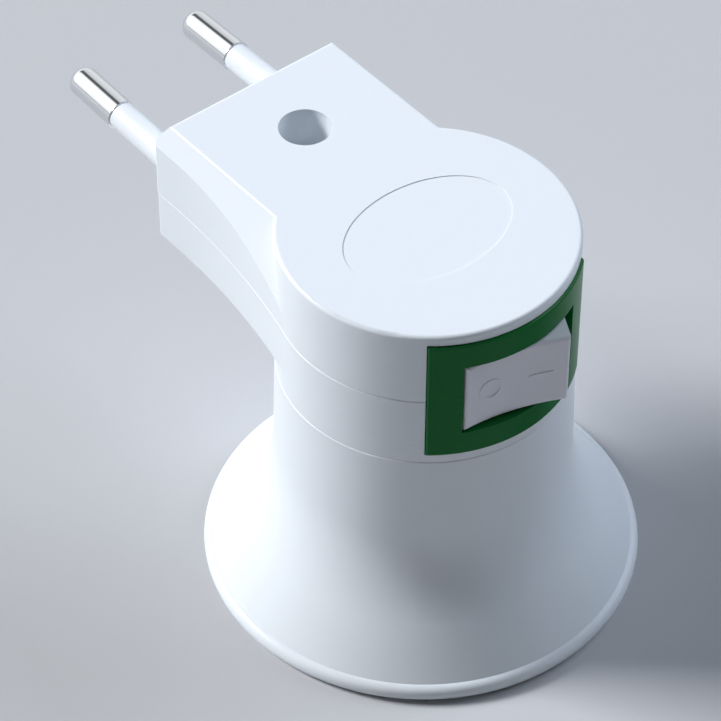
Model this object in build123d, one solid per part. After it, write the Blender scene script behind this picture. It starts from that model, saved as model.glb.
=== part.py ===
from build123d import *
import os
from math import asin, atan, cos, degrees, hypot, radians, sin, tan

# Plug in lamp holder: a two part housing on two round plug pins, a bell that surrounds the
# bulb's cap, and a rocker switch in a curved frame. It stands on the mouth of its bell.
# Millimetres. The origin is where the socket's axis meets the plane of the bell's mouth,
# +Z runs up that axis, the plug pins point along +Y and the switch faces -Y.

# Heights: the bell ends at the neck, and the housing stands on it
neck_z = 32.6
housing_height = 20.4
block_step = 2.6
seam_drop = 0.2

# Housing
wall = 2.2
head_radius = 18.0
block_half_width = 14.1
block_end_y = 34.2
flare_start_y = 30.0
facet_half_width = 12.4
facet_end_y = 33.0
facet_drop = 2.75
lower_step = 0.1
end_corner_radius = 0.5
seam_relief = 0.12
facet_wall_gap = 0.02
underside_radius = 0.8
collar_step = 0.02
rim_radius = 0.5
lip_height = 1.2
lip_thickness = 1.05
lip_clearance = 0.1
oval_length = 22.4
oval_width = 15.2
oval_depth = 0.1

# Screw that holds the neck of the housing together
neck_screw_y = 22.8
driver_hole_radius = 3.25
screw_seat_rise = 2.0
screw_end_wall = 1.4
boss_wall = 1.35
shank_radius = 1.45
shank_clearance = 0.2
pilot_clearance = 0.05
pilot_end_gap = 0.3
screw_head_radius = 2.75
screw_head_height = 2.0
screw_edge_radius = 0.6
driver_slot_width = 0.9
driver_slot_length = 3.4
driver_slot_depth = 1.1

# Plug pins: the common two pin plug, which leans together towards the tips
pin_radius = 2.0
pin_root_x = 9.2
pin_tip_x = 8.8
pin_length = 23.3
bare_length = 9.3
tip_round = 1.5
sleeve_radius = 1.84
sleeve_wall = 0.34
shank_end_radius = 1.75
sleeve_root = 2.4
collar_radius = 2.8
collar_start = 4.6
collar_length = 1.4
pin_inner_end = 8.2
solder_tab_length = 3.4
solder_tab_width = 3.2
solder_tab_thickness = 1.2
pin_clearance = 0.05
pin_rib_inner_x = 5.7
pin_rib_thickness = 1.9
collar_clearance = 0.15

# Switch frame and its box
frame_half_angle = 40.0
frame_margin = 1.4
frame_band = 3.5
frame_proud = 0.35
frame_overlap = 0.15
frame_clearance = 0.1
frame_edge_radius = 0.3
window_half_width = 8.25
box_wall = 1.1
box_root = 0.4
box_back_y = -5.5
ear_angle = 5.5
ear_thickness = 1.1
ear_rise = 0.7
ear_clearance = 0.15

# Rocker, drawn level and then tipped onto its stop
rocker_pivot_y = -12.5
rocker_fold_y = -17.9
rocker_half_length = 6.56
rocker_end_rise = 0.72
rocker_gap = 0.25
rocker_tilt = 16.0
rocker_root_half_length = 7.3
rocker_root_y = -15.1
rocker_waist_half_length = 5.2
rocker_waist_y = -12.9
rocker_back_y = -11.6
rocker_edge_radius = 0.45
journal_radius = 1.2
journal_clearance = 0.05
journal_end_gap = 0.1
stem_half_width = 2.2
stem_half_height = 2.5
stem_end_y = -9.3
mark_height = 0.12
mark_line = 0.45
mark_sink = 0.2
ring_mark_radius = 1.6
bar_mark_length = 2.9
mark_offset = 3.2

# Plunger, its spring and the see-saw contact under it
plunger_radius = 1.1
plunger_bore_clearance = 0.05
plunger_tip_round = 0.93
plunger_top_y = -10.6
spring_seat_y = -13.1
spring_radius = 0.85
spring_wire_radius = 0.16
spring_turns = 4
spring_end_gap = 0.02
saddle_y = -7.8
saddle_gap = 0.15
saddle_half_length = 5.2
saddle_half_height = 1.8
saddle_thickness = 0.6
saddle_fold = 16.0
seesaw_tilt = 8.0
contact_x = 4.6
contact_radius = 1.1
contact_height = 0.5
contact_gap = 0.1

# Switch base and its two blades
base_plate_thickness = 1.8
blade_thickness = 0.8
blade_half_height = 2.0
blade_gap = 0.02
prong_length = 1.0
prong_root = 1.2
prong_clearance = 0.15
prong_width = 0.7
blade_end_y = 0.5
slot_clearance = 0.05

# Bell
bell_neck_step = 0.05
bell_top_round = 0.15
bell_root_radius = 18.35
bell_root_z = 20.0
bell_flare_radius = 20.0
bell_flare_angle = 35.0
bell_wall = 2.0
bead_radius = 1.2
bell_mouth_radius = 27.3
cone_end_radius = 26.3
rim_land = 0.6
neck_bore_radius = 16.0
ledge_radius = 14.2
ledge_z = 27.9
ledge_thickness = 1.5
spigot_clearance = 0.1
spigot_bore_radius = 14.05

# Socket: the standard thread of 27 mm, drawn as a plain bore at its smaller diameter
thread_minor_radius = 12.25
thread_outer_radius = 13.65
thread_start_z = 8.7
thread_end_z = 21.7
collar_bore_radius = 13.2
shell_lip_radius = 14.2
shell_lip_height = 0.7
shell_flange_z = 26.2
shell_flange_thickness = 0.5
shell_hole_radius = 7.6
screw_hole_clearance = 0.15
tab_x = 5.4
tab_width = 4.0
tab_top_z = 37.6
tab_clearance = 0.1
base_flange_radius = 15.6
base_hub_radius = 13.9
base_hub_gap = 0.1
hub_recess_depth = 1.0
wire_hole_radius = 7.4
socket_screw_x = 10.2
socket_screw_length = 15.2
socket_screw_head_radius = 2.6
socket_screw_head_height = 1.8
screw_boss_roof = 0.8
socket_screw_boss_radius = 3.0
strip_width = 5.0
strip_root_y = 7.2
strip_bend_y = 3.0
strip_tip_y = -3.2
strip_tip_z = 22.9
strip_curl = 1.2
strip_bend_radius = 0.35
rivet_y = 5.2
rivet_radius = 1.2
rivet_head_radius = 1.9
rivet_head_height = 0.8
rivet_edge_radius = 0.5

# Inner leads
lead_radius = 1.0
lead_bend = 1.8
lead_end_gap = 0.02
live_turn_y = 12.0
live_meet_y = 7.0
neutral_turn_y = 11.0
neutral_meet_y = 4.0
switched_drop = 4.6

# What follows from the values above
top_z = neck_z + housing_height
switch_z = neck_z + housing_height / 2
seam_z = switch_z - seam_drop
block_bottom_z = neck_z + block_step
screw_seat_z = seam_z + screw_seat_rise
screw_depth = screw_seat_z - block_bottom_z - screw_end_wall
frame_half_height = housing_height / 2 - frame_margin
window_half_height = frame_half_height - frame_band
rocker_half_height = window_half_height - rocker_gap
ear_half_height = window_half_height + ear_rise
inner_radius = head_radius - wall
frame_back_radius = inner_radius + frame_overlap
bell_neck_radius = head_radius + bell_neck_step
floor_z = neck_z + wall
block_floor_z = block_bottom_z + wall
roof_z = top_z - wall
hub_top_z = neck_z + hub_recess_depth


def box_between(x0, x1, y0, y1, z0, z1):
    """Block between two limits on each axis."""
    centre = ((x0 + x1) / 2, (y0 + y1) / 2, (z0 + z1) / 2)
    return Pos(*centre) * Box(x1 - x0, y1 - y0, z1 - z0)


def upright_cylinder(radius, z0, z1, x=0.0, y=0.0):
    """Cylinder along Z between two heights."""
    return Pos(x, y, (z0 + z1) / 2) * Cylinder(radius, z1 - z0)


def ring(r_in, r_out, z0, z1):
    """Upright tube between two heights."""
    return upright_cylinder(r_out, z0, z1) - upright_cylinder(r_in, z0 - 1, z1 + 1)


def front_sector(r_in, r_out, half_angle, z0, z1):
    """Part of an upright tube that lies within an angle of the -Y direction."""
    reach = 2 * r_out
    side = reach * tan(radians(half_angle))
    section = Polygon((0, 0), (-side, -reach), (side, -reach), align=None)
    wedge = extrude(Plane.XY.offset(z0) * section, z1 - z0)
    return ring(r_in, r_out, z0, z1) & wedge


def flare_points(inset, half_width):
    """Start, middle and end of the arc that flares a side of the block into the head."""
    r = head_radius - inset
    w = half_width - inset
    flare = (w**2 + flare_start_y**2 - r**2) / (2 * (r - w))
    centre_x = w + flare
    reach = hypot(centre_x, flare_start_y)
    half_sweep = atan(flare_start_y / centre_x) / 2
    touch = (r * centre_x / reach, r * flare_start_y / reach)
    middle = (centre_x - flare * cos(half_sweep), flare_start_y - flare * sin(half_sweep))
    return touch, middle, (w, flare_start_y)


def plan_outline(inset, half_width):
    """Seen from above: the round head and the plug block, whose sides flare into the head."""
    touch, middle, side_start = flare_points(inset, half_width)
    w = half_width - inset
    end_y = block_end_y - inset
    head = ThreePointArc((-touch[0], touch[1]), (0, inset - head_radius), touch)
    right = ThreePointArc(touch, middle, side_start)
    end = Polyline(side_start, (w, end_y), (-w, end_y), (-w, flare_start_y))
    left = ThreePointArc((-w, flare_start_y), (-middle[0], middle[1]), (-touch[0], touch[1]))
    outline = make_face([head, right, end, left])
    if inset < end_corner_radius:
        corners = outline.vertices().sort_by(Axis.Y)[-2:]
        outline = fillet(corners, end_corner_radius - inset)
    return outline


def plan_slab(inset, half_width, z0, z1):
    """The plan outline as a plain slab between two heights."""
    return extrude(Plane.XY.offset(z0) * plan_outline(inset, half_width), z1 - z0)


def facet_limits(inset):
    """What the upper facets leave: the round head, and a block with a slope on three top edges."""
    run = block_half_width - facet_half_width
    pull = inset * (hypot(run, facet_drop) - run) / facet_drop
    flat_x = facet_half_width - pull
    flat_y = facet_end_y - pull
    high = top_z - inset
    low = seam_z - 1
    spread = (high - low) * run / facet_drop
    reach = 2 * block_end_y
    low_x = flat_x + spread
    across = Polygon((flat_x, high), (-flat_x, high), (-low_x, low), (low_x, low), align=None)
    along = Polygon((flat_y, high), (-reach, high), (-reach, low), (flat_y + spread, low), align=None)
    block = extrude(Plane.XZ * across, reach, both=True) & extrude(Plane.YZ * along, reach, both=True)
    return block + upright_cylinder(head_radius - inset + facet_wall_gap, low, high)


def upper_form(inset):
    """Solid form of the upper half, pulled in by the inset."""
    return plan_slab(inset, block_half_width, seam_z, top_z - inset) & facet_limits(inset)


def seam_eased(form):
    """The form with a fine chamfer where the two halves meet, which leaves a thin line."""
    return chamfer(form.edges().filter_by_position(Axis.Z, seam_z - 0.01, seam_z + 0.01), seam_relief)


def lower_form(inset):
    """Solid form of the lower half: a shallower block beside the head's cylinder."""
    half_width = block_half_width - lower_step
    form = plan_slab(inset, half_width, block_bottom_z + inset, seam_z)
    if inset == 0:
        underside = form.edges().filter_by_position(Axis.Z, block_bottom_z - 0.01, block_bottom_z + 0.01)
        form = fillet(underside.filter_by(lambda e: e.center().Y > flare_start_y / 2), underside_radius)
    return form


def top_rounded(form):
    """The form with its flat top's rim rounded."""
    return fillet(form.edges().filter_by_position(Axis.Z, top_z - 0.01, top_z + 0.01), rim_radius)


def pin_axis(side):
    """Place at a pin's root on the end face, with Z along the pin towards its tip."""
    lean = degrees(atan((pin_root_x - pin_tip_x) / pin_length))
    place = Pos(side * pin_root_x, block_end_y, seam_z)
    return place * Rot(0, 0, side * lean) * Rot(-90, 0, 0)


def along_pin(side, radius, start, end):
    """Cylinder on a pin's axis, measured from the end face of the block."""
    return pin_axis(side) * Pos(0, 0, (start + end) / 2) * Cylinder(radius, end - start)


def without_pins(shell):
    """The shell with room for the sleeves, shanks and collars of both pins."""
    sleeve_r = sleeve_radius + pin_clearance
    shank_r = shank_end_radius + pin_clearance
    collar_r = collar_radius + collar_clearance
    collar_out = collar_clearance - collar_start
    collar_in = -collar_start - collar_length - collar_clearance
    inner_end = -pin_inner_end - solder_tab_length
    profile = Polyline(
        (0, 1),
        (sleeve_r, 1),
        (sleeve_r, -sleeve_root),
        (shank_r, -sleeve_root),
        (shank_r, collar_out),
        (collar_r, collar_out),
        (collar_r, collar_in),
        (shank_r, collar_in),
        (shank_r, inner_end),
        (0, inner_end),
        close=True,
    )
    room = pin_axis(-1) * revolve(Plane.XZ * make_face(profile), Axis.Z)
    return shell - room - mirror(room, Plane.YZ)


def pin_ribs(z0, z1):
    """Thick end wall and inner rib that grip the pins on both sides of their collars."""
    ribs = None
    collar_y = block_end_y - collar_start - collar_length
    gaps = (
        (block_end_y - collar_start, block_end_y - wall / 2),
        (collar_y - pin_rib_thickness, collar_y),
    )
    for side in (-1, 1):
        for y0, y1 in gaps:
            x0 = min(side * pin_rib_inner_x, side * block_half_width)
            x1 = max(side * pin_rib_inner_x, side * block_half_width)
            piece = box_between(x0, x1, y0, y1, z0, z1)
            ribs = piece if ribs is None else ribs + piece
    return ribs


def frame_pocket():
    """Opening in the housing's wall for the switch frame, ears and box."""
    z0 = switch_z - frame_half_height - frame_clearance
    z1 = switch_z + frame_half_height + frame_clearance
    edge_angle = degrees(frame_clearance / head_radius)
    return front_sector(inner_radius - 0.1, head_radius + 2, frame_half_angle + edge_angle, z0, z1)


def seam_ring(outer_inset, inner_inset, outer_half_width, height):
    """Ring that stands on the seam, between an inset of a shell and one of the lower shell."""
    lower_half_width = block_half_width - lower_step
    outer = plan_slab(outer_inset, outer_half_width, seam_z, seam_z + height)
    return outer - plan_slab(inner_inset, lower_half_width, seam_z - 1, seam_z + height + 1)


def make_upper_shell():
    hollow = upper_form(wall)
    shell = seam_eased(top_rounded(upper_form(0))) - hollow
    shell += pin_ribs(seam_z, roof_z) & hollow
    shell += upright_cylinder(driver_hole_radius + boss_wall, seam_z, roof_z, y=neck_screw_y)
    shell -= upright_cylinder(driver_hole_radius, screw_seat_z, top_z + 1, y=neck_screw_y)
    shell -= upright_cylinder(shank_radius + shank_clearance, seam_z - 1, screw_seat_z + 1, y=neck_screw_y)
    groove_inset = wall - lip_thickness - lip_clearance
    shell -= seam_ring(groove_inset, wall + lip_clearance, block_half_width, lip_height + lip_clearance)
    shell = without_pins(shell)
    shell -= frame_pocket()
    oval = Ellipse(oval_length / 2, oval_width / 2)
    shell -= extrude(Plane.XY.offset(top_z - oval_depth) * oval, 1)
    return shell


def make_lower_shell():
    half_width = block_half_width - lower_step
    hollow = lower_form(wall)
    shell = seam_eased(lower_form(0))
    shell += upright_cylinder(head_radius - collar_step, neck_z, block_bottom_z + underside_radius)
    shell -= hollow
    shell -= upright_cylinder(head_radius - wall - collar_step, floor_z, block_floor_z + 0.5)
    shell += pin_ribs(block_floor_z, seam_z) & hollow
    pilot_bottom = screw_seat_z - screw_depth - pilot_end_gap
    shell += upright_cylinder(driver_hole_radius, block_floor_z - 0.5, seam_z, y=neck_screw_y)
    shell -= upright_cylinder(shank_radius + pilot_clearance, pilot_bottom, seam_z + 1, y=neck_screw_y)
    shell += seam_ring(wall - lip_thickness, wall, half_width, lip_height)
    spigot_z = ledge_z + ledge_thickness
    shell += ring(spigot_bore_radius, neck_bore_radius - spigot_clearance, spigot_z, neck_z)
    screw_top = shell_flange_z - shell_flange_thickness + socket_screw_length
    for side in (-1, 1):
        x = side * socket_screw_x
        shell += upright_cylinder(socket_screw_boss_radius, floor_z - 0.5, screw_top + screw_boss_roof, x=x)
    shell -= upright_cylinder(spigot_bore_radius, spigot_z - 1, hub_top_z)
    for side in (-1, 1):
        x = side * socket_screw_x
        shell -= upright_cylinder(shank_radius + pilot_clearance, hub_top_z - 1, screw_top + pilot_end_gap, x=x)
    shell -= upright_cylinder(wire_hole_radius, hub_top_z - 1, floor_z + 1)
    shell = without_pins(shell)
    shell -= frame_pocket()
    return shell


def make_bell():
    angle = radians(bell_flare_angle)
    centre = (bell_root_radius + bell_flare_radius, bell_root_z)
    inner_flare = bell_flare_radius + bell_wall

    def on_flare(radius, fraction):
        a = angle * fraction
        return (centre[0] - radius * cos(a), centre[1] - radius * sin(a))

    outer_end = on_flare(bell_flare_radius, 1)
    cone_end_z = outer_end[1] - (cone_end_radius - outer_end[0]) / tan(angle)
    cone_end = (cone_end_radius, cone_end_z)
    inner_cone_end = (cone_end[0] - bell_wall * cos(angle), cone_end[1] - bell_wall * sin(angle))
    bead_x = bell_mouth_radius - bead_radius
    ledge_top = ledge_z + ledge_thickness
    round_x = bell_neck_radius - bell_top_round
    round_z = neck_z - bell_top_round
    outline = [
        Line((neck_bore_radius, neck_z), (round_x, neck_z)),
        RadiusArc((round_x, neck_z), (bell_neck_radius, round_z), bell_top_round),
        Line((bell_neck_radius, round_z), on_flare(bell_flare_radius, 0)),
        ThreePointArc(on_flare(bell_flare_radius, 0), on_flare(bell_flare_radius, 0.5), outer_end),
        Line(outer_end, cone_end),
        ThreePointArc(cone_end, (bell_mouth_radius, bead_radius), (bead_x, 0)),
        Line((bead_x, 0), (bead_x - rim_land, 0)),
        Line((bead_x - rim_land, 0), inner_cone_end),
        Line(inner_cone_end, on_flare(inner_flare, 1)),
        ThreePointArc(on_flare(inner_flare, 1), on_flare(inner_flare, 0.5), on_flare(inner_flare, 0)),
        Line(on_flare(inner_flare, 0), (neck_bore_radius, ledge_z)),
        Line((neck_bore_radius, ledge_z), (ledge_radius, ledge_z)),
        Line((ledge_radius, ledge_z), (ledge_radius, ledge_top)),
        Line((ledge_radius, ledge_top), (neck_bore_radius, ledge_top)),
        Line((neck_bore_radius, ledge_top), (neck_bore_radius, neck_z)),
    ]
    return revolve(Plane.XZ * make_face(outline), Axis.Z)


def make_pin(side):
    core_radius = sleeve_radius - sleeve_wall
    bare_start = pin_length - bare_length
    tip = along_pin(side, pin_radius, bare_start, pin_length)
    end_plane = pin_axis(side) * Pos(0, 0, pin_length)
    tip_edge = tip.edges().sort_by_distance(Vertex(*end_plane.position))[0]
    tip = fillet(tip_edge, tip_round)
    pin = tip + along_pin(side, core_radius, -sleeve_root, bare_start)
    pin += along_pin(side, shank_end_radius, -pin_inner_end, -sleeve_root)
    pin += along_pin(side, collar_radius, -collar_start - collar_length, -collar_start)
    tab = Box(solder_tab_width, solder_tab_thickness, solder_tab_length + 0.5)
    pin += pin_axis(side) * Pos(0, 0, -pin_inner_end - solder_tab_length / 2 + 0.25) * tab
    return pin


def make_sleeve(side):
    tube = along_pin(side, sleeve_radius, -sleeve_root, pin_length - bare_length)
    return tube - along_pin(side, sleeve_radius - sleeve_wall, -sleeve_root - 1, pin_length)


def cross_screw(radius, head_height, shank_length):
    """Screw standing on its shank, with the underside of its head at height zero."""
    head = Pos(0, 0, head_height / 2) * Cylinder(radius, head_height)
    rim = head.edges().filter_by_position(Axis.Z, head_height - 0.01, head_height + 0.01)
    head = fillet(rim, screw_edge_radius)
    for turn in (0, 90):
        slot = Box(driver_slot_length, driver_slot_width, driver_slot_depth)
        head -= Rot(0, 0, turn) * Pos(0, 0, head_height - driver_slot_depth / 2 + 0.01) * slot
    shank = Pos(0, 0, -shank_length / 2) * Cylinder(shank_radius, shank_length)
    return head + shank


def make_switch_frame():
    face_radius = head_radius + frame_proud
    z0 = switch_z - frame_half_height
    z1 = switch_z + frame_half_height
    face = front_sector(frame_back_radius, face_radius, frame_half_angle, z0, z1)
    rim = [e for e in face.edges() if is_front_edge(e, face_radius)]
    face = fillet(rim, frame_edge_radius)
    half_box = window_half_width + box_wall
    box_z = window_half_height + box_wall
    front = frame_back_radius + box_root
    box = box_between(-half_box, half_box, -front, box_back_y, switch_z - box_z, switch_z + box_z)
    box &= upright_cylinder(front, z0, z1)
    frame = face + box
    ear_outer = inner_radius - ear_clearance
    ear_z0 = switch_z - ear_half_height
    ear_z1 = switch_z + ear_half_height
    frame += front_sector(ear_outer - ear_thickness, ear_outer, frame_half_angle + ear_angle, ear_z0, ear_z1)
    frame += front_sector(ear_outer - 0.2, frame_back_radius + 0.1, frame_half_angle - 1, ear_z0, ear_z1)
    frame -= box_between(
        -window_half_width,
        window_half_width,
        -head_radius - 3,
        box_back_y + 1,
        switch_z - window_half_height,
        switch_z + window_half_height,
    )
    bore = journal_radius + journal_clearance
    frame -= upright_cylinder(bore, switch_z - box_z - 1, switch_z + box_z + 1, y=rocker_pivot_y)
    return frame


def is_front_edge(edge, radius):
    """True for an edge that lies on the outer face of the frame."""
    middle = edge.position_at(0.5)
    ends = (edge.position_at(0), edge.position_at(1))
    return all(abs(hypot(p.X, p.Y) - radius) < 0.02 for p in (middle, *ends))


def tipped(solid, angle, pivot_y):
    """The solid turned about an upright axis at x = 0."""
    return Pos(0, pivot_y, 0) * Rot(0, 0, angle) * Pos(0, -pivot_y, 0) * solid


def make_rocker():
    level_end = rocker_fold_y - rocker_end_rise
    face = ThreePointArc((-rocker_half_length, level_end), (0, rocker_fold_y), (rocker_half_length, level_end))
    sides = Polyline(
        (rocker_half_length, level_end),
        (rocker_root_half_length, rocker_root_y),
        (rocker_waist_half_length, rocker_waist_y),
        (stem_half_width, rocker_back_y),
        (-stem_half_width, rocker_back_y),
        (-rocker_waist_half_length, rocker_waist_y),
        (-rocker_root_half_length, rocker_root_y),
        (-rocker_half_length, level_end),
    )
    z0 = switch_z - rocker_half_height
    body = extrude(Plane.XY.offset(z0) * make_face([face, sides]), 2 * rocker_half_height)
    front = [e for e in body.edges() if max(v.Y for v in e.vertices()) < level_end + 0.01]
    body = fillet(front, rocker_edge_radius)
    stem_z0 = switch_z - stem_half_height
    stem_z1 = switch_z + stem_half_height
    body += box_between(-stem_half_width, stem_half_width, rocker_pivot_y, stem_end_y, stem_z0, stem_z1)
    for side in (-1, 1):
        end_z = switch_z + side * (window_half_height + box_wall - journal_end_gap)
        start_z = switch_z + side * (rocker_half_height - 0.5)
        body += upright_cylinder(journal_radius, min(start_z, end_z), max(start_z, end_z), y=rocker_pivot_y)
    bore = plunger_radius + plunger_bore_clearance
    bore_length = stem_end_y + 1 - spring_seat_y
    body -= Pos(0, spring_seat_y + bore_length / 2, switch_z) * Rot(90, 0, 0) * Cylinder(bore, bore_length)
    face_radius = (rocker_half_length**2 + rocker_end_rise**2) / (2 * rocker_end_rise)
    for side in (-1, 1):
        turn = side * asin(mark_offset / face_radius)
        surface = Plane(
            origin=(face_radius * sin(turn), rocker_fold_y - face_radius * (1 - cos(turn)), switch_z),
            x_dir=(cos(turn), -sin(turn), 0),
            z_dir=(-sin(turn), -cos(turn), 0),
        )
        place = surface * Pos(0, 0, -mark_sink)
        if side < 0:
            mark = Circle(ring_mark_radius) - Circle(ring_mark_radius - mark_line)
        else:
            mark = Rectangle(bar_mark_length, mark_line)
        body += extrude(place * mark, mark_sink + mark_height)
    return tipped(body, -rocker_tilt, rocker_pivot_y)


def make_plunger():
    tip_y = saddle_y - saddle_gap
    middle = Pos(0, (plunger_top_y + tip_y) / 2, switch_z)
    body = middle * Rot(90, 0, 0) * Cylinder(plunger_radius, tip_y - plunger_top_y)
    tip = body.edges().sort_by(Axis.Y)[-1]
    body = fillet(tip, plunger_tip_round)
    return tipped(body, -rocker_tilt, rocker_pivot_y)


def make_spring():
    length = plunger_top_y - spring_seat_y - 2 * (spring_wire_radius + spring_end_gap)
    pitch = length / spring_turns
    coil = Helix(pitch, length, spring_radius)
    section = Plane(origin=coil @ 0, z_dir=coil % 0) * Circle(spring_wire_radius)
    spring = sweep(section, path=coil)
    start_y = spring_seat_y + spring_wire_radius + spring_end_gap
    spring = Pos(0, start_y, switch_z) * Rot(-90, 0, 0) * spring
    return tipped(spring, -rocker_tilt, rocker_pivot_y)


def make_seesaw():
    """Saddle shaped contact bar, level first and then tipped to where the plunger holds it."""
    rise = saddle_half_length * tan(radians(saddle_fold))
    near = [(-saddle_half_length, saddle_y - rise), (0, saddle_y), (saddle_half_length, saddle_y - rise)]
    far = [(x, y + saddle_thickness) for x, y in reversed(near)]
    section = Plane.XY.offset(switch_z) * Polygon(*near, *far, align=None)
    bar = extrude(section, saddle_half_height, both=True)
    surface_y = saddle_y - contact_x * tan(radians(saddle_fold)) + saddle_thickness
    button_place = Pos(-contact_x, surface_y, switch_z) * Rot(0, 0, saddle_fold) * Rot(-90, 0, 0)
    bar += button_place * Pos(0, 0, contact_height / 2 - 0.1) * Cylinder(contact_radius, contact_height + 0.2)
    return tipped(bar, seesaw_tilt, saddle_y + saddle_thickness)


def make_pivot_terminal():
    """Upright blade whose front edge carries the see-saw between two prongs."""
    y0 = saddle_y + saddle_thickness + blade_gap
    w = blade_thickness / 2
    z0 = switch_z - blade_half_height
    z1 = switch_z + blade_half_height
    blade = box_between(-w, w, y0, blade_end_y, z0, z1)
    for side in (-1, 1):
        z_in = switch_z + side * (saddle_half_height + prong_clearance)
        z_out = z_in + side * prong_width
        blade += box_between(-w, w, y0 - prong_length, y0 + prong_root, min(z_in, z_out), max(z_in, z_out))
    return blade


def fixed_contact_y():
    """Where the face of the fixed contact meets the see-saw's button when switched on."""
    arm = radians(saddle_fold - seesaw_tilt)
    reach = contact_x / cos(radians(saddle_fold))
    button_y = contact_height * cos(arm) + contact_radius * sin(arm)
    return saddle_y + saddle_thickness - reach * sin(arm) + button_y


def make_fixed_terminal():
    face_y = fixed_contact_y() + contact_gap
    x = -contact_x
    blade_y = face_y + contact_height
    w = blade_thickness / 2
    z0 = switch_z - blade_half_height
    z1 = switch_z + blade_half_height
    blade = box_between(x - w, x + w, blade_y - 0.1, blade_end_y, z0, z1)
    middle = Pos(x, face_y + contact_height / 2, switch_z)
    button = middle * Rot(90, 0, 0) * Cylinder(contact_radius, contact_height)
    return blade + button


def make_switch_base():
    half_box = window_half_width + box_wall
    box_z = window_half_height + box_wall
    y1 = box_back_y + base_plate_thickness
    plate = box_between(-half_box, half_box, box_back_y, y1, switch_z - box_z, switch_z + box_z)
    for x in (0.0, -contact_x):
        w = blade_thickness / 2 + slot_clearance
        h = blade_half_height + slot_clearance
        if x == 0.0:
            h = max(h, saddle_half_height + prong_clearance + prong_width + slot_clearance)
        plate -= box_between(x - w, x + w, box_back_y - 1, y1 + 1, switch_z - h, switch_z + h)
    return plate


def make_screw_shell():
    outline = Polyline(
        (thread_minor_radius, thread_start_z),
        (thread_minor_radius, thread_end_z),
        (collar_bore_radius, thread_end_z),
        (collar_bore_radius, shell_flange_z - shell_flange_thickness),
        (shell_hole_radius, shell_flange_z - shell_flange_thickness),
        (shell_hole_radius, shell_flange_z),
        (thread_outer_radius, shell_flange_z),
        (thread_outer_radius, thread_start_z + shell_lip_height),
        (shell_lip_radius, thread_start_z),
        close=True,
    )
    shell = revolve(Plane.XZ * make_face(outline), Axis.Z)
    tongue_z = shell_flange_z - shell_flange_thickness
    w = tab_width / 2
    shell += box_between(tab_x, shell_hole_radius + 0.6, -w, w, tongue_z, shell_flange_z)
    shell += box_between(tab_x, tab_x + shell_flange_thickness, -w, w, tongue_z, tab_top_z)
    for side in (-1, 1):
        hole = shank_radius + screw_hole_clearance
        shell -= upright_cylinder(hole, tongue_z - 1, shell_flange_z + 1, x=side * socket_screw_x)
    return shell


def make_socket_base():
    base = upright_cylinder(base_flange_radius, shell_flange_z, ledge_z)
    base += upright_cylinder(base_hub_radius, ledge_z - 0.5, hub_top_z - base_hub_gap)
    for side in (-1, 1):
        hole = shank_radius + screw_hole_clearance
        base -= upright_cylinder(hole, shell_flange_z - 1, neck_z + 5, x=side * socket_screw_x)
    base -= upright_cylinder(rivet_radius + pilot_clearance, shell_flange_z - 1, neck_z + 5, y=rivet_y)
    w = tab_width / 2 + tab_clearance
    x1 = tab_x + shell_flange_thickness + tab_clearance
    base -= box_between(tab_x - tab_clearance, x1, -w, w, shell_flange_z - 1, neck_z + 5)
    return base


def make_socket_screws():
    z = shell_flange_z - shell_flange_thickness
    screws = []
    for side in (-1, 1):
        screw = cross_screw(socket_screw_head_radius, socket_screw_head_height, socket_screw_length)
        screws.append(Pos(side * socket_screw_x, 0, z) * Rot(180, 0, 0) * screw)
    return Compound(children=screws)


def make_centre_contact():
    z_top = shell_flange_z
    z_low = shell_flange_z - shell_flange_thickness
    slope = atan((z_low - strip_tip_z) / (strip_bend_y - strip_tip_y))
    curl = (strip_tip_y - strip_curl, strip_tip_z + strip_curl * 0.6)
    lower = [(strip_root_y, z_low), (strip_bend_y, z_low), (strip_tip_y, strip_tip_z), curl]
    lift = shell_flange_thickness / cos(slope)
    upper = [
        (curl[0] + 0.2, curl[1] + shell_flange_thickness),
        (strip_tip_y, strip_tip_z + lift),
        (strip_bend_y - 0.1, z_top),
        (strip_root_y, z_top),
    ]
    strip = extrude(Plane.YZ * Polygon(*lower, *upper, align=None), strip_width / 2, both=True)
    across = [e for e in strip.edges() if abs(e.tangent_at(0.5).X) > 0.99]
    bends = [e for e in across if strip_tip_y - 0.2 < e.center().Y < strip_bend_y + 0.2]
    strip = fillet(bends, strip_bend_radius)
    return strip - upright_cylinder(rivet_radius + pilot_clearance, z_low - 1, z_top + 1, y=rivet_y)


def make_centre_rivet():
    z_low = shell_flange_z - shell_flange_thickness
    z_high = hub_top_z - base_hub_gap
    head = upright_cylinder(rivet_head_radius, z_low - rivet_head_height, z_low, y=rivet_y)
    head = fillet(head.edges().sort_by(Axis.Z)[0], rivet_edge_radius)
    shank = upright_cylinder(rivet_radius, z_low - 0.2, z_high + 0.2, y=rivet_y)
    upset = upright_cylinder(rivet_head_radius, z_high, z_high + rivet_head_height, y=rivet_y)
    return head + shank + upset


def make_lead(points):
    """Insulated lead along straight runs joined by round bends."""
    path = FilletPolyline(*points, radius=lead_bend)
    section = Plane(origin=path @ 0, z_dir=path % 0) * Circle(lead_radius)
    return sweep(section, path=path)


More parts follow.
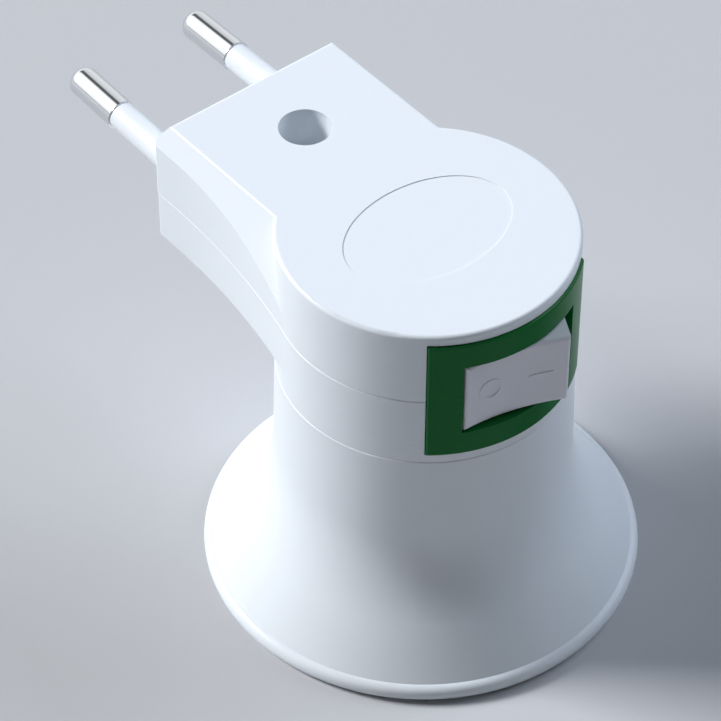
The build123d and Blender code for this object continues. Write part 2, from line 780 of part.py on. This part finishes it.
def lead_points():
    inner = pin_axis(1) * Pos(0, 0, -pin_inner_end - solder_tab_length - lead_end_gap)
    pin_x = inner.position.X
    pin_y = inner.position.Y
    rivet_top = hub_top_z - base_hub_gap + rivet_head_height + lead_end_gap
    tab_mid = tab_x + shell_flange_thickness / 2
    blade_end = blade_end_y + lead_end_gap
    low_z = seam_z - switched_drop
    return {
        "lead_live": [
            (-pin_x, pin_y, seam_z),
            (-pin_x, live_turn_y, seam_z),
            (0, live_meet_y, seam_z),
            (0, blade_end, seam_z),
        ],
        "lead_neutral": [
            (pin_x, pin_y, seam_z),
            (pin_x, neutral_turn_y, seam_z),
            (tab_mid, neutral_meet_y, seam_z),
            (tab_mid, 0, seam_z),
            (tab_mid, 0, tab_top_z + lead_end_gap),
        ],
        "lead_switched": [
            (-contact_x, blade_end, seam_z),
            (-contact_x, rivet_y, seam_z),
            (-contact_x, rivet_y, low_z),
            (0, rivet_y, low_z),
            (0, rivet_y, rivet_top),
        ],
    }


def main():
    nodes = {
        "upper_shell": make_upper_shell(),
        "lower_shell": make_lower_shell(),
        "bell_skirt": make_bell(),
        "switch_frame": make_switch_frame(),
        "rocker": make_rocker(),
        "plunger": make_plunger(),
        "plunger_spring": make_spring(),
        "seesaw_contact": make_seesaw(),
        "pivot_terminal": make_pivot_terminal(),
        "fixed_terminal": make_fixed_terminal(),
        "switch_base": make_switch_base(),
        "pin_left": make_pin(-1),
        "pin_right": make_pin(1),
        "sleeve_left": make_sleeve(-1),
        "sleeve_right": make_sleeve(1),
        "screw_shell": make_screw_shell(),
        "socket_base": make_socket_base(),
        "socket_screws": make_socket_screws(),
        "centre_contact": make_centre_contact(),
        "centre_rivet": make_centre_rivet(),
    }
    neck_screw = cross_screw(screw_head_radius, screw_head_height, screw_depth)
    nodes["neck_screw"] = Pos(0, neck_screw_y, screw_seat_z) * neck_screw
    for name, points in lead_points().items():
        nodes[name] = make_lead(points)
    for name, shape in nodes.items():
        export_step(shape, f"parts/{name}.step")


os.makedirs("parts", exist_ok=True)
main()
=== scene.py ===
from math import cos, pi, radians, sin

import bpy
from mathutils import Matrix, Vector


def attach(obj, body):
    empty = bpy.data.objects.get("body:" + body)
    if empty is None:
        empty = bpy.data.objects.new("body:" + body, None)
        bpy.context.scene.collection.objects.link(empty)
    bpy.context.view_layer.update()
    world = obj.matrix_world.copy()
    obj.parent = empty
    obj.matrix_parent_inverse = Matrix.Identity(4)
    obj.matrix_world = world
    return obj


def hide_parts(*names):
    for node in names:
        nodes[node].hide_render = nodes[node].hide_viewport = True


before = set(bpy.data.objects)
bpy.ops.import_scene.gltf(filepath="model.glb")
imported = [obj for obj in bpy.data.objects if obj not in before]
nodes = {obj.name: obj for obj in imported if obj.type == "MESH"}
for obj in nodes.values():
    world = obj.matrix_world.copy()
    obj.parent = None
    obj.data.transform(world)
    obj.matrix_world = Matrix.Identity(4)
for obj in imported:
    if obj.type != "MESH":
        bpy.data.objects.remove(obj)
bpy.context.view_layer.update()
MM = 0.001
EVEN = (1, 1, 1)


# Materials

NOISE_LOW = 0.2
NOISE_HIGH = 0.8


class Look:
    """A material whose Principled shader is fed by procedural nodes."""

    def __init__(self, name):
        self.material = bpy.data.materials.new(name)
        self.material.use_nodes = True
        self.tree = self.material.node_tree
        self.shader = self.tree.nodes["Principled BSDF"]
        self.coordinates = self.add("ShaderNodeTexCoord").outputs["Object"]

    def add(self, kind, **settings):
        node = self.tree.nodes.new(kind)
        for key, value in settings.items():
            setattr(node, key, value)
        return node

    def link(self, output, socket):
        self.tree.links.new(output, socket)
        return self

    def set(self, **values):
        """Plain values on the shader's own sockets, with _ for a space in a name."""
        for key, value in values.items():
            self.shader.inputs[key.replace("_", " ")].default_value = value
        return self

    def noise(self, scale, detail, stretch=EVEN):
        mapping = self.add("ShaderNodeMapping")
        mapping.inputs["Scale"].default_value = stretch
        self.link(self.coordinates, mapping.inputs["Vector"])
        node = self.add("ShaderNodeTexNoise")
        node.inputs["Scale"].default_value = scale
        node.inputs["Detail"].default_value = detail
        self.link(mapping.outputs["Vector"], node.inputs["Vector"])
        return node.outputs["Fac"]

    def spread(self, value, low, high):
        """The range that a noise really covers, brought to low to high."""
        node = self.add("ShaderNodeMapRange")
        ends = {"From Min": NOISE_LOW, "From Max": NOISE_HIGH, "To Min": low, "To Max": high}
        for key, number in ends.items():
            node.inputs[key].default_value = number
        self.link(value, node.inputs["Value"])
        return node.outputs["Result"]

    def colours(self, first, second, scale, detail):
        """Clouds of two colours."""
        node = self.add("ShaderNodeMix", data_type="RGBA")
        node.inputs["A"].default_value = (*first, 1)
        node.inputs["B"].default_value = (*second, 1)
        self.link(self.spread(self.noise(scale, detail), 0, 1), node.inputs["Factor"])
        return self.link(node.outputs["Result"], self.shader.inputs["Base Color"])

    def roughness(self, low, high, scale, detail, stretch=EVEN):
        value = self.spread(self.noise(scale, detail, stretch), low, high)
        return self.link(value, self.shader.inputs["Roughness"])

    def bumps(self, *layers):
        """Layers of relief, each as scale, height in metres, detail and stretch."""
        last = None
        for scale, height, detail, stretch in layers:
            node = self.add("ShaderNodeBump")
            node.inputs["Strength"].default_value = 1.0
            node.inputs["Distance"].default_value = height
            self.link(self.noise(scale, detail, stretch), node.inputs["Height"])
            if last is not None:
                self.link(last, node.inputs["Normal"])
            last = node.outputs["Normal"]
        return self.link(last, self.shader.inputs["Normal"])


def moulded_plastic(name, colour, shade, low, high, depth=1.0):
    """Moulded plastic: faint clouding, uneven gloss between low and high, soft waviness and a fine skin."""
    look = Look(name)
    look.colours(colour, shade, scale=25.0, detail=1.0)
    look.roughness(low, high, scale=60.0, detail=1.0)
    waviness = (35.0, 0.006 * MM * depth, 0.0, EVEN)
    skin = (1500.0, 0.0003 * MM * depth, 1.0, EVEN)
    return look.bumps(waviness, skin)


def bare_metal(name, colour, shade, low, high, stretch, depth):
    """Metal with tool marks of a depth in mm, which run square to the axis with the largest stretch."""
    look = Look(name)
    look.set(Metallic=1.0)
    look.colours(colour, shade, scale=90.0, detail=4.0)
    look.roughness(low, high, scale=700.0, detail=3.0, stretch=stretch)
    marks = (900.0, depth * MM, 2.0, stretch)
    dents = (90.0, 1.5 * depth * MM, 1.0, EVEN)
    return look.bumps(marks, dents)


TURNED = (1, 9, 1)
ROLLED = (1, 1, 6)
PRESSED = (1, 1, 5)

white = moulded_plastic("white_plastic", (0.84, 0.885, 0.925), (0.83, 0.877, 0.92), 0.28, 0.34)
white.set(
    Specular_IOR_Level=0.35,
    Subsurface_Weight=0.06,
    Subsurface_Radius=(0.6, 0.7, 0.8),
    Subsurface_Scale=1.5 * MM,
)
rocker_white = moulded_plastic("rocker_plastic", (0.80, 0.80, 0.86), (0.79, 0.79, 0.85), 0.26, 0.32)
green = moulded_plastic("green_plastic", (0.004, 0.142, 0.028), (0.003, 0.132, 0.025), 0.24, 0.32)
green.set(Specular_IOR_Level=0.1)
sleeve = moulded_plastic("sleeve_plastic", (0.84, 0.87, 0.90), (0.82, 0.855, 0.885), 0.34, 0.46)
nickel = bare_metal("nickel", (0.80, 0.80, 0.81), (0.76, 0.76, 0.77), 0.10, 0.15, TURNED, 0.0002)
brass = bare_metal("brass", (0.78, 0.60, 0.30), (0.62, 0.45, 0.20), 0.22, 0.40, PRESSED, 0.002)
shell_metal = bare_metal("rolled_nickel", (0.74, 0.72, 0.66), (0.64, 0.61, 0.54), 0.2, 0.36, ROLLED, 0.002)
steel = bare_metal("zinc_steel", (0.60, 0.62, 0.64), (0.50, 0.53, 0.56), 0.24, 0.42, EVEN, 0.002)
ceramic = moulded_plastic("ceramic", (0.80, 0.78, 0.72), (0.72, 0.70, 0.63), 0.45, 0.7, 3.0)
base_plastic = moulded_plastic("base_plastic", (0.56, 0.52, 0.43), (0.50, 0.46, 0.37), 0.42, 0.6, 2.0)
brown = moulded_plastic("brown_insulation", (0.10, 0.035, 0.014), (0.08, 0.028, 0.012), 0.36, 0.5, 2.0)
blue = moulded_plastic("blue_insulation", (0.02, 0.09, 0.38), (0.016, 0.075, 0.33), 0.36, 0.5, 2.0)

finishes = {
    "upper_shell": white,
    "lower_shell": white,
    "bell_skirt": white,
    "switch_frame": green,
    "rocker": rocker_white,
    "pin_left": nickel,
    "pin_right": nickel,
    "sleeve_left": sleeve,
    "sleeve_right": sleeve,
    "neck_screw": steel,
    "screw_shell": shell_metal,
    "socket_base": ceramic,
    "centre_contact": brass,
    "centre_rivet": brass,
    "socket_screws": steel,
    "plunger": base_plastic,
    "plunger_spring": steel,
    "seesaw_contact": brass,
    "pivot_terminal": brass,
    "fixed_terminal": brass,
    "switch_base": base_plastic,
    "lead_live": brown,
    "lead_switched": brown,
    "lead_neutral": blue,
}
for name, look in finishes.items():
    slots = nodes[name].data.materials
    slots.clear()
    slots.append(look.material)


# The screw shell's rolled thread, in mm

THREAD_PITCH = 3.629
THREAD_MIDDLE = 12.95
THREAD_SWING = 0.525
SHEET = 0.35
COLLAR_MIDDLE = 13.475
LIP_MIDDLE = 14.02
LIP_HEIGHT = 0.9
SHELL_BOTTOM = 8.7
THREAD_BOTTOM = SHELL_BOTTOM + 0.5
THREAD_TOP = 21.7
THREAD_RUN_IN = 1.3
THREAD_RUN_OUT = 1.7
THREAD_RUN_END = 0.5
FLANGE_TOP = 26.2
FLANGE_THICKNESS = 0.5
FLANGE_BOTTOM = FLANGE_TOP - FLANGE_THICKNESS
FLANGE_HOLE = 7.6
FLANGE_CORNER = 0.4
TAB_X = 5.4
TAB_BACK = TAB_X + FLANGE_THICKNESS
TAB_FOOT = FLANGE_HOLE + 0.3
TAB_BEND = 0.15
TAB_HALF_WIDTH = 2.0
TAB_TOP = 37.6
ROW_STEP = 0.18
CORNER_STEPS = 4
TURN_STEPS = 120
ANGLES = [2 * pi * j / TURN_STEPS for j in range(TURN_STEPS)]


def eased(value, low, high):
    """0 below low, 1 above high and a smooth step between."""
    t = min(max((value - low) / (high - low), 0.0), 1.0)
    return t * t * (3 - 2 * t)


def sheet_middle(z, angle):
    """Radius of the middle of the rolled sheet at a height and an angle."""
    run_out_end = THREAD_TOP + THREAD_RUN_END
    run_in = eased(z, THREAD_BOTTOM, THREAD_BOTTOM + THREAD_RUN_IN)
    run_out = eased(z, run_out_end - THREAD_RUN_OUT, run_out_end)
    lip = 1 - eased(z, SHELL_BOTTOM, SHELL_BOTTOM + LIP_HEIGHT)
    plain = COLLAR_MIDDLE + (LIP_MIDDLE - COLLAR_MIDDLE) * lip
    wave = THREAD_MIDDLE + THREAD_SWING * cos(2 * pi * z / THREAD_PITCH - angle)
    return plain + (wave - plain) * run_in * (1 - run_out)


def rolled_shell():
    """Points and faces of one closed skin: up the inside, over the flange and down the outside."""
    rise = FLANGE_BOTTOM - SHELL_BOTTOM
    count = int(rise / ROW_STEP)
    heights = [SHELL_BOTTOM + rise * i / count for i in range(count + 1)]
    rows = [[(sheet_middle(z, a) - SHEET / 2, z) for a in ANGLES] for z in heights]
    rows += [[(FLANGE_HOLE, z)] * TURN_STEPS for z in (FLANGE_BOTTOM, FLANGE_TOP)]
    corner_r = COLLAR_MIDDLE + SHEET / 2 - FLANGE_CORNER
    corner_z = FLANGE_TOP - FLANGE_CORNER
    for i in range(CORNER_STEPS + 1):
        a = pi / 2 * i / CORNER_STEPS
        rows.append([(corner_r + FLANGE_CORNER * sin(a), corner_z + FLANGE_CORNER * cos(a))] * TURN_STEPS)
    rows += [[(sheet_middle(z, a) + SHEET / 2, z) for a in ANGLES] for z in reversed(heights)]
    points = [(r * cos(a), r * sin(a), z) for row in rows for (r, z), a in zip(row, ANGLES)]
    faces = []
    for i in range(len(rows)):
        below = i * TURN_STEPS
        above = (i + 1) % len(rows) * TURN_STEPS
        for j in range(TURN_STEPS):
            k = (j + 1) % TURN_STEPS
            faces.append((below + j, above + j, above + k, below + k))
    return points, faces


def bent_tab(first):
    """Points and faces of the terminal tab, bent up from the flange; first is its first point's number."""
    outline = [
        (TAB_FOOT, FLANGE_BOTTOM),
        (TAB_BACK, FLANGE_BOTTOM),
        (TAB_X + TAB_BEND, FLANGE_BOTTOM + TAB_BEND),
        (TAB_X, FLANGE_TOP),
        (TAB_X, TAB_TOP),
        (TAB_BACK, TAB_TOP),
        (TAB_BACK, FLANGE_TOP),
        (TAB_FOOT, FLANGE_TOP),
    ]
    corners = len(outline)
    points = [(x, side * TAB_HALF_WIDTH, z) for side in (-1, 1) for x, z in outline]
    near = [first + i for i in range(corners)]
    far = [v + corners for v in near]
    faces = [tuple(near), tuple(reversed(far))]
    for i in range(corners):
        k = (i + 1) % corners
        faces.append((near[k], near[i], far[i], far[k]))
    return points, faces


def mesh_object(name, points, faces, look):
    """A smooth shaded object from points in mm."""
    mesh = bpy.data.meshes.new(name)
    mesh.from_pydata([tuple(v * MM for v in p) for p in points], [], faces)
    mesh.update()
    mesh.validate()
    mesh.materials.append(look.material)
    obj = bpy.data.objects.new(name, mesh)
    bpy.context.scene.collection.objects.link(obj)
    for polygon in mesh.polygons:
        polygon.use_smooth = True
    return obj


shell_points, shell_faces = rolled_shell()
tab_points, tab_faces = bent_tab(len(shell_points))
thread_shell = mesh_object(
    "screw_shell_rolled", shell_points + tab_points, shell_faces + tab_faces, shell_metal
)
thread_shell.modifiers.new("edges", "EDGE_SPLIT").split_angle = radians(50)
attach(thread_shell, "housing")
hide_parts("screw_shell")


# Camera, fitted to the photo, with angles in degrees from the front and lengths in mm

VIEW_AZIMUTH = -39.4844
VIEW_ELEVATION = 45.1377
VIEW_ROLL = 0.3159
VIEW_DISTANCE = 422.4382
FOCAL_PIXELS = 3569.4354
SHIFT_RIGHT_PIXELS = 65.6081
SHIFT_DOWN_PIXELS = -51.5106
FRAME_PIXELS = 721
SENSOR_WIDTH = 36.0
TARGET = Vector((0, 0, 40))


def camera_axes():
    """The camera's own right, up and back directions."""
    a = radians(VIEW_AZIMUTH)
    e = radians(VIEW_ELEVATION)
    back = Vector((sin(a) * cos(e), -cos(a) * cos(e), sin(e)))
    right = Vector((cos(a), sin(a), 0))
    up = back.cross(right)
    roll = radians(VIEW_ROLL)
    return right * cos(roll) + up * sin(roll), up * cos(roll) - right * sin(roll), back


def make_camera():
    right, up, back = camera_axes()
    per_pixel = VIEW_DISTANCE / FOCAL_PIXELS
    aside = (up * SHIFT_DOWN_PIXELS - right * SHIFT_RIGHT_PIXELS) * per_pixel
    data = bpy.data.cameras.new("view")
    data.sensor_width = SENSOR_WIDTH
    data.lens = FOCAL_PIXELS * SENSOR_WIDTH / FRAME_PIXELS
    data.clip_start = 0.01
    data.clip_end = 20.0
    camera = bpy.data.objects.new("view", data)
    turn = Matrix((right, up, back)).transposed()
    camera.matrix_world = Matrix.Translation((TARGET + back * VIEW_DISTANCE + aside) * MM) @ turn.to_4x4()
    bpy.context.scene.collection.objects.link(camera)
    bpy.context.scene.camera = camera


make_camera()


# Floor and light, in metres

FLOOR_HALF_SIZE = 3.0
LAMPS_AIM_HEIGHT = 0.03


def make_floor():
    h = FLOOR_HALF_SIZE
    mesh = bpy.data.meshes.new("floor")
    mesh.from_pydata([(-h, -h, 0), (h, -h, 0), (h, h, 0), (-h, h, 0)], [], [(0, 1, 2, 3)])
    floor = bpy.data.objects.new("floor", mesh)
    bpy.context.scene.collection.objects.link(floor)
    paper = Look("paper")
    paper.colours((0.562, 0.567, 0.579), (0.551, 0.556, 0.568), scale=9.0, detail=1.0)
    paper.roughness(0.75, 0.9, scale=30.0, detail=3.0)
    paper.bumps((800.0, 0.02 * MM, 3.0, EVEN))
    paper.set(Specular_IOR_Level=0.2)
    mesh.materials.append(paper.material)


def area_light(name, azimuth, elevation, distance, size, level, colour):
    """Square lamp that faces the object; level is what it gives a white surface square to it."""
    a = radians(azimuth)
    e = radians(elevation)
    toward = Vector((cos(a) * cos(e), sin(a) * cos(e), sin(e)))
    data = bpy.data.lights.new(name, "AREA")
    data.shape = "SQUARE"
    data.size = size
    data.energy = level * (pi * distance) ** 2
    data.color = colour
    lamp = bpy.data.objects.new(name, data)
    lamp.location = toward * distance + Vector((0, 0, LAMPS_AIM_HEIGHT))
    lamp.rotation_euler = toward.to_track_quat("Z", "Y").to_euler()
    bpy.context.scene.collection.objects.link(lamp)


# Brightness of the even light and of the parts of the room that surfaces mirror

AMBIENT = 0.025
HORIZON = 0.45
SCREEN = 1.25
WALL = 0.95
PANEL = 1.3
GAP = 0.12
CEILING = 0.8
ROOM_COLOUR = (0.93, 0.97, 1.0, 1)


def make_world():
    """Weak even light, and a studio room that only the camera and glossy surfaces see.

    The room has a bright screen on the -x side, which goes on overhead as a panel, then a dark
    gap, a plain ceiling and plain walls. The pins mirror these as their bright and dark bands.
    """
    world = bpy.data.worlds.new("studio")
    world.use_nodes = True
    tree = world.node_tree
    path = tree.nodes.new("ShaderNodeLightPath")
    seen = tree.nodes.new("ShaderNodeMath")
    seen.operation = "MAXIMUM"
    tree.links.new(path.outputs["Is Camera Ray"], seen.inputs[0])
    tree.links.new(path.outputs["Is Glossy Ray"], seen.inputs[1])
    direction = tree.nodes.new("ShaderNodeSeparateXYZ")
    tree.links.new(tree.nodes.new("ShaderNodeTexCoord").outputs["Generated"], direction.inputs["Vector"])

    def ranged(source, start, end, low, high):
        """Low below start and high above end, each of them a number or another result."""
        node = tree.nodes.new("ShaderNodeMapRange")
        node.interpolation_type = "SMOOTHSTEP"
        ends = {"From Min": start, "From Max": end, "To Min": low, "To Max": high}
        for key, value in ends.items():
            if isinstance(value, float):
                node.inputs[key].default_value = value
            else:
                tree.links.new(value, node.inputs[key])
        tree.links.new(source, node.inputs["Value"])
        return node.outputs["Result"]

    across = direction.outputs["X"]
    height = direction.outputs["Z"]
    screen = ranged(height, start=0.02, end=0.2, low=HORIZON, high=SCREEN)
    walls = ranged(across, start=0.0, end=0.5, low=screen, high=WALL)
    ceiling = ranged(across, start=0.3, end=0.44, low=GAP, high=CEILING)
    overhead = ranged(across, start=-0.02, end=0.12, low=PANEL, high=ceiling)
    room = ranged(height, start=0.44, end=0.6, low=walls, high=overhead)
    strength = ranged(seen.outputs["Value"], start=0.0, end=1.0, low=AMBIENT, high=room)
    background = tree.nodes["Background"]
    background.inputs["Color"].default_value = ROOM_COLOUR
    tree.links.new(strength, background.inputs["Strength"])
    bpy.context.scene.world = world


make_floor()
make_world()
area_light("key", 126.5, 36.0, distance=4.0, size=1.15, level=1.22, colour=(0.985, 1.0, 1.035))
area_light("rim", 352.0, 37.0, distance=2.5, size=1.8, level=0.51, colour=(0.89, 1.0, 1.17))
bpy.context.scene.view_settings.view_transform = "Standard"
